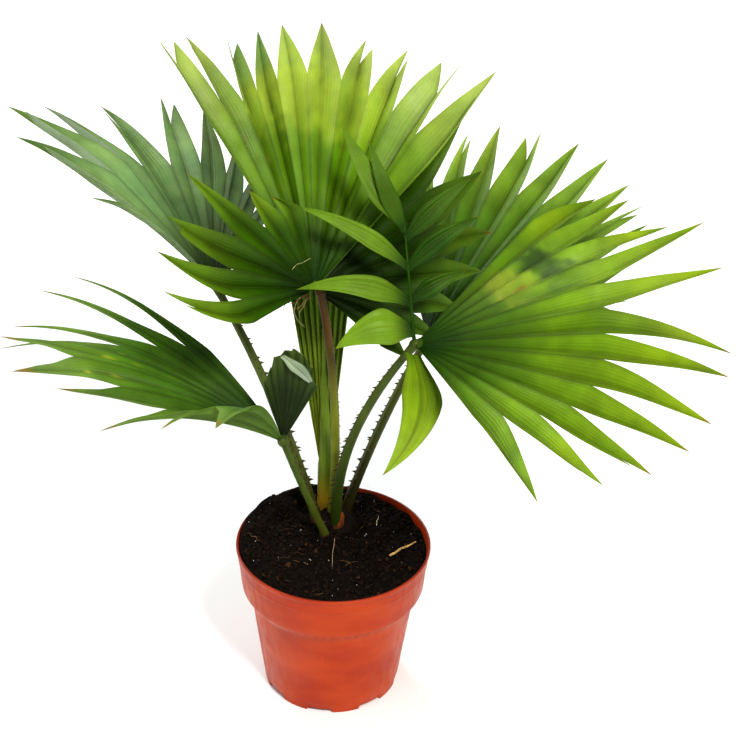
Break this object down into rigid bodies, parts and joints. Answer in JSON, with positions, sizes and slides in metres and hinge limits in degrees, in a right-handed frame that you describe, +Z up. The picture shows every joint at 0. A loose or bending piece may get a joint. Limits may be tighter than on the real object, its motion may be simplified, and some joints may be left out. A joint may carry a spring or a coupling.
{
  "type": "potted footstool palm",
  "caption": "Young fan palm with pleated fan leaves on thorny stalks, in a round tapered nursery pot filled with compost.",
  "frame": {"origin": "centre of the flat underside of the pot", "axes": "+Z up; the front of the plant is towards -Y and its right is +X"},
  "size_m": [0.6065, 0.5318, 0.5719],
  "materials": {
    "pot_plastic": "thin terracotta-red plastic, softly glossy, with faint scuffs",
    "compost": "dark damp compost with a few white grains and pale fibres",
    "leaf": "pleated leaf, softly glossy, lighter towards the tips",
    "stalk": "smooth olive-green leaf stalk with small dark thorns",
    "sheath": "dry orange-brown leaf sheath"
  },
  "bodies": {
    "root": {"pot": "pot_plastic", "soil": "compost", "crown_base": "sheath", "stalk_centre": "stalk", "blade_centre_left": "leaf", "blade_centre_top": "leaf", "blade_centre_right": "leaf", "stalk_right_front": "stalk", "blade_right_front_main": "leaf", "blade_right_front_lower": "leaf", "blade_right_front_wing": "leaf", "stalk_left_low": "stalk", "blade_left_low_main": "leaf", "blade_left_low_fold": "leaf", "stalk_left_back": "stalk", "blade_left_back_main": "leaf", "stalk_right_back": "stalk", "blade_right_back_main": "leaf", "spear_leaf": "leaf"}
  },
  "joints": []
}
